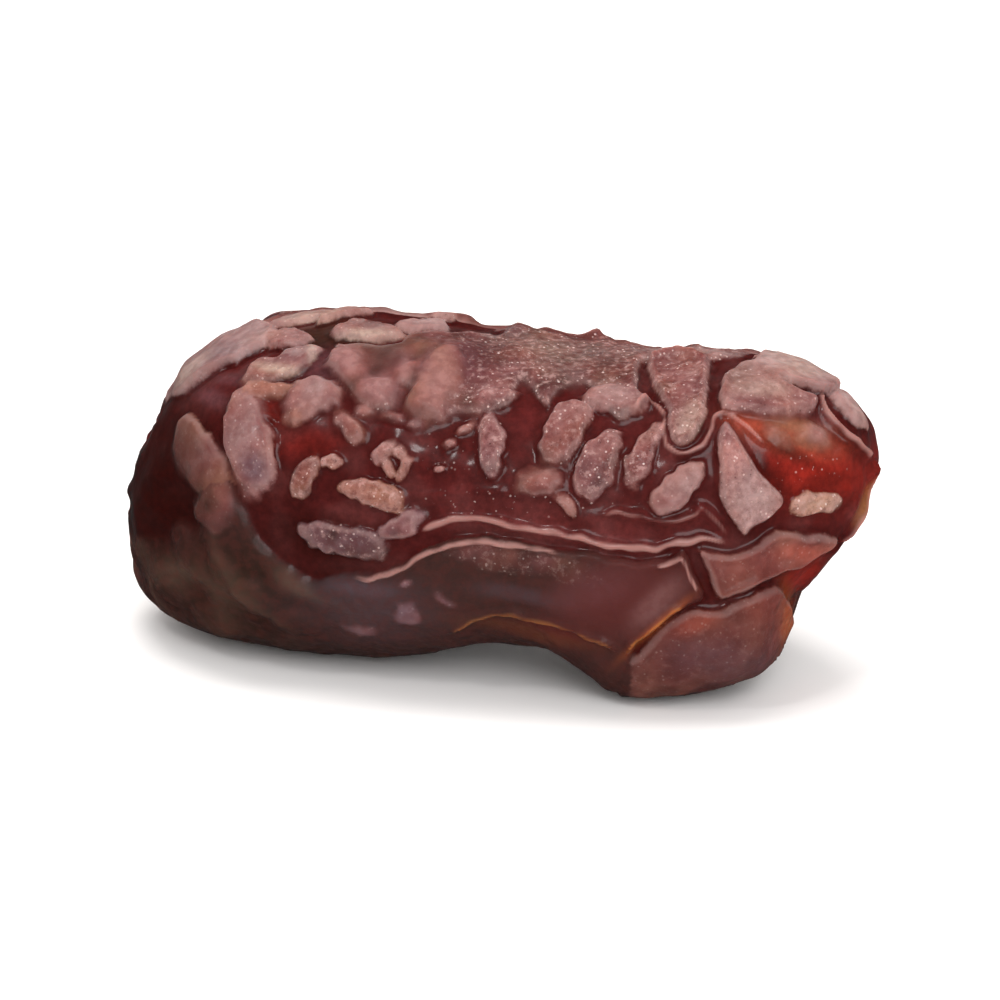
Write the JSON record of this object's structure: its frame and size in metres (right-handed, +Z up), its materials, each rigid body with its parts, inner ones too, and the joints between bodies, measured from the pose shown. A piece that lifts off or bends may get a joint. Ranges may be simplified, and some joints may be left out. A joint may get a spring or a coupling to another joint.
{
  "type": "piarom date",
  "caption": "Dried Piarom date lying on its side: oblong dark fruit with blistered, creased skin, a stem scar at one end and a rounded tip.",
  "frame": {"origin": "on the table under the middle of the date's bounding box", "axes": "+X along the fruit from the stem scar to the tip, +Z up, -Y towards the side that the picture shows"},
  "size_m": [0.0462, 0.0215, 0.0205],
  "materials": {
    "date_skin": "dried skin, half glossy"
  },
  "bodies": {
    "root": {"date": "date_skin"}
  },
  "joints": []
}
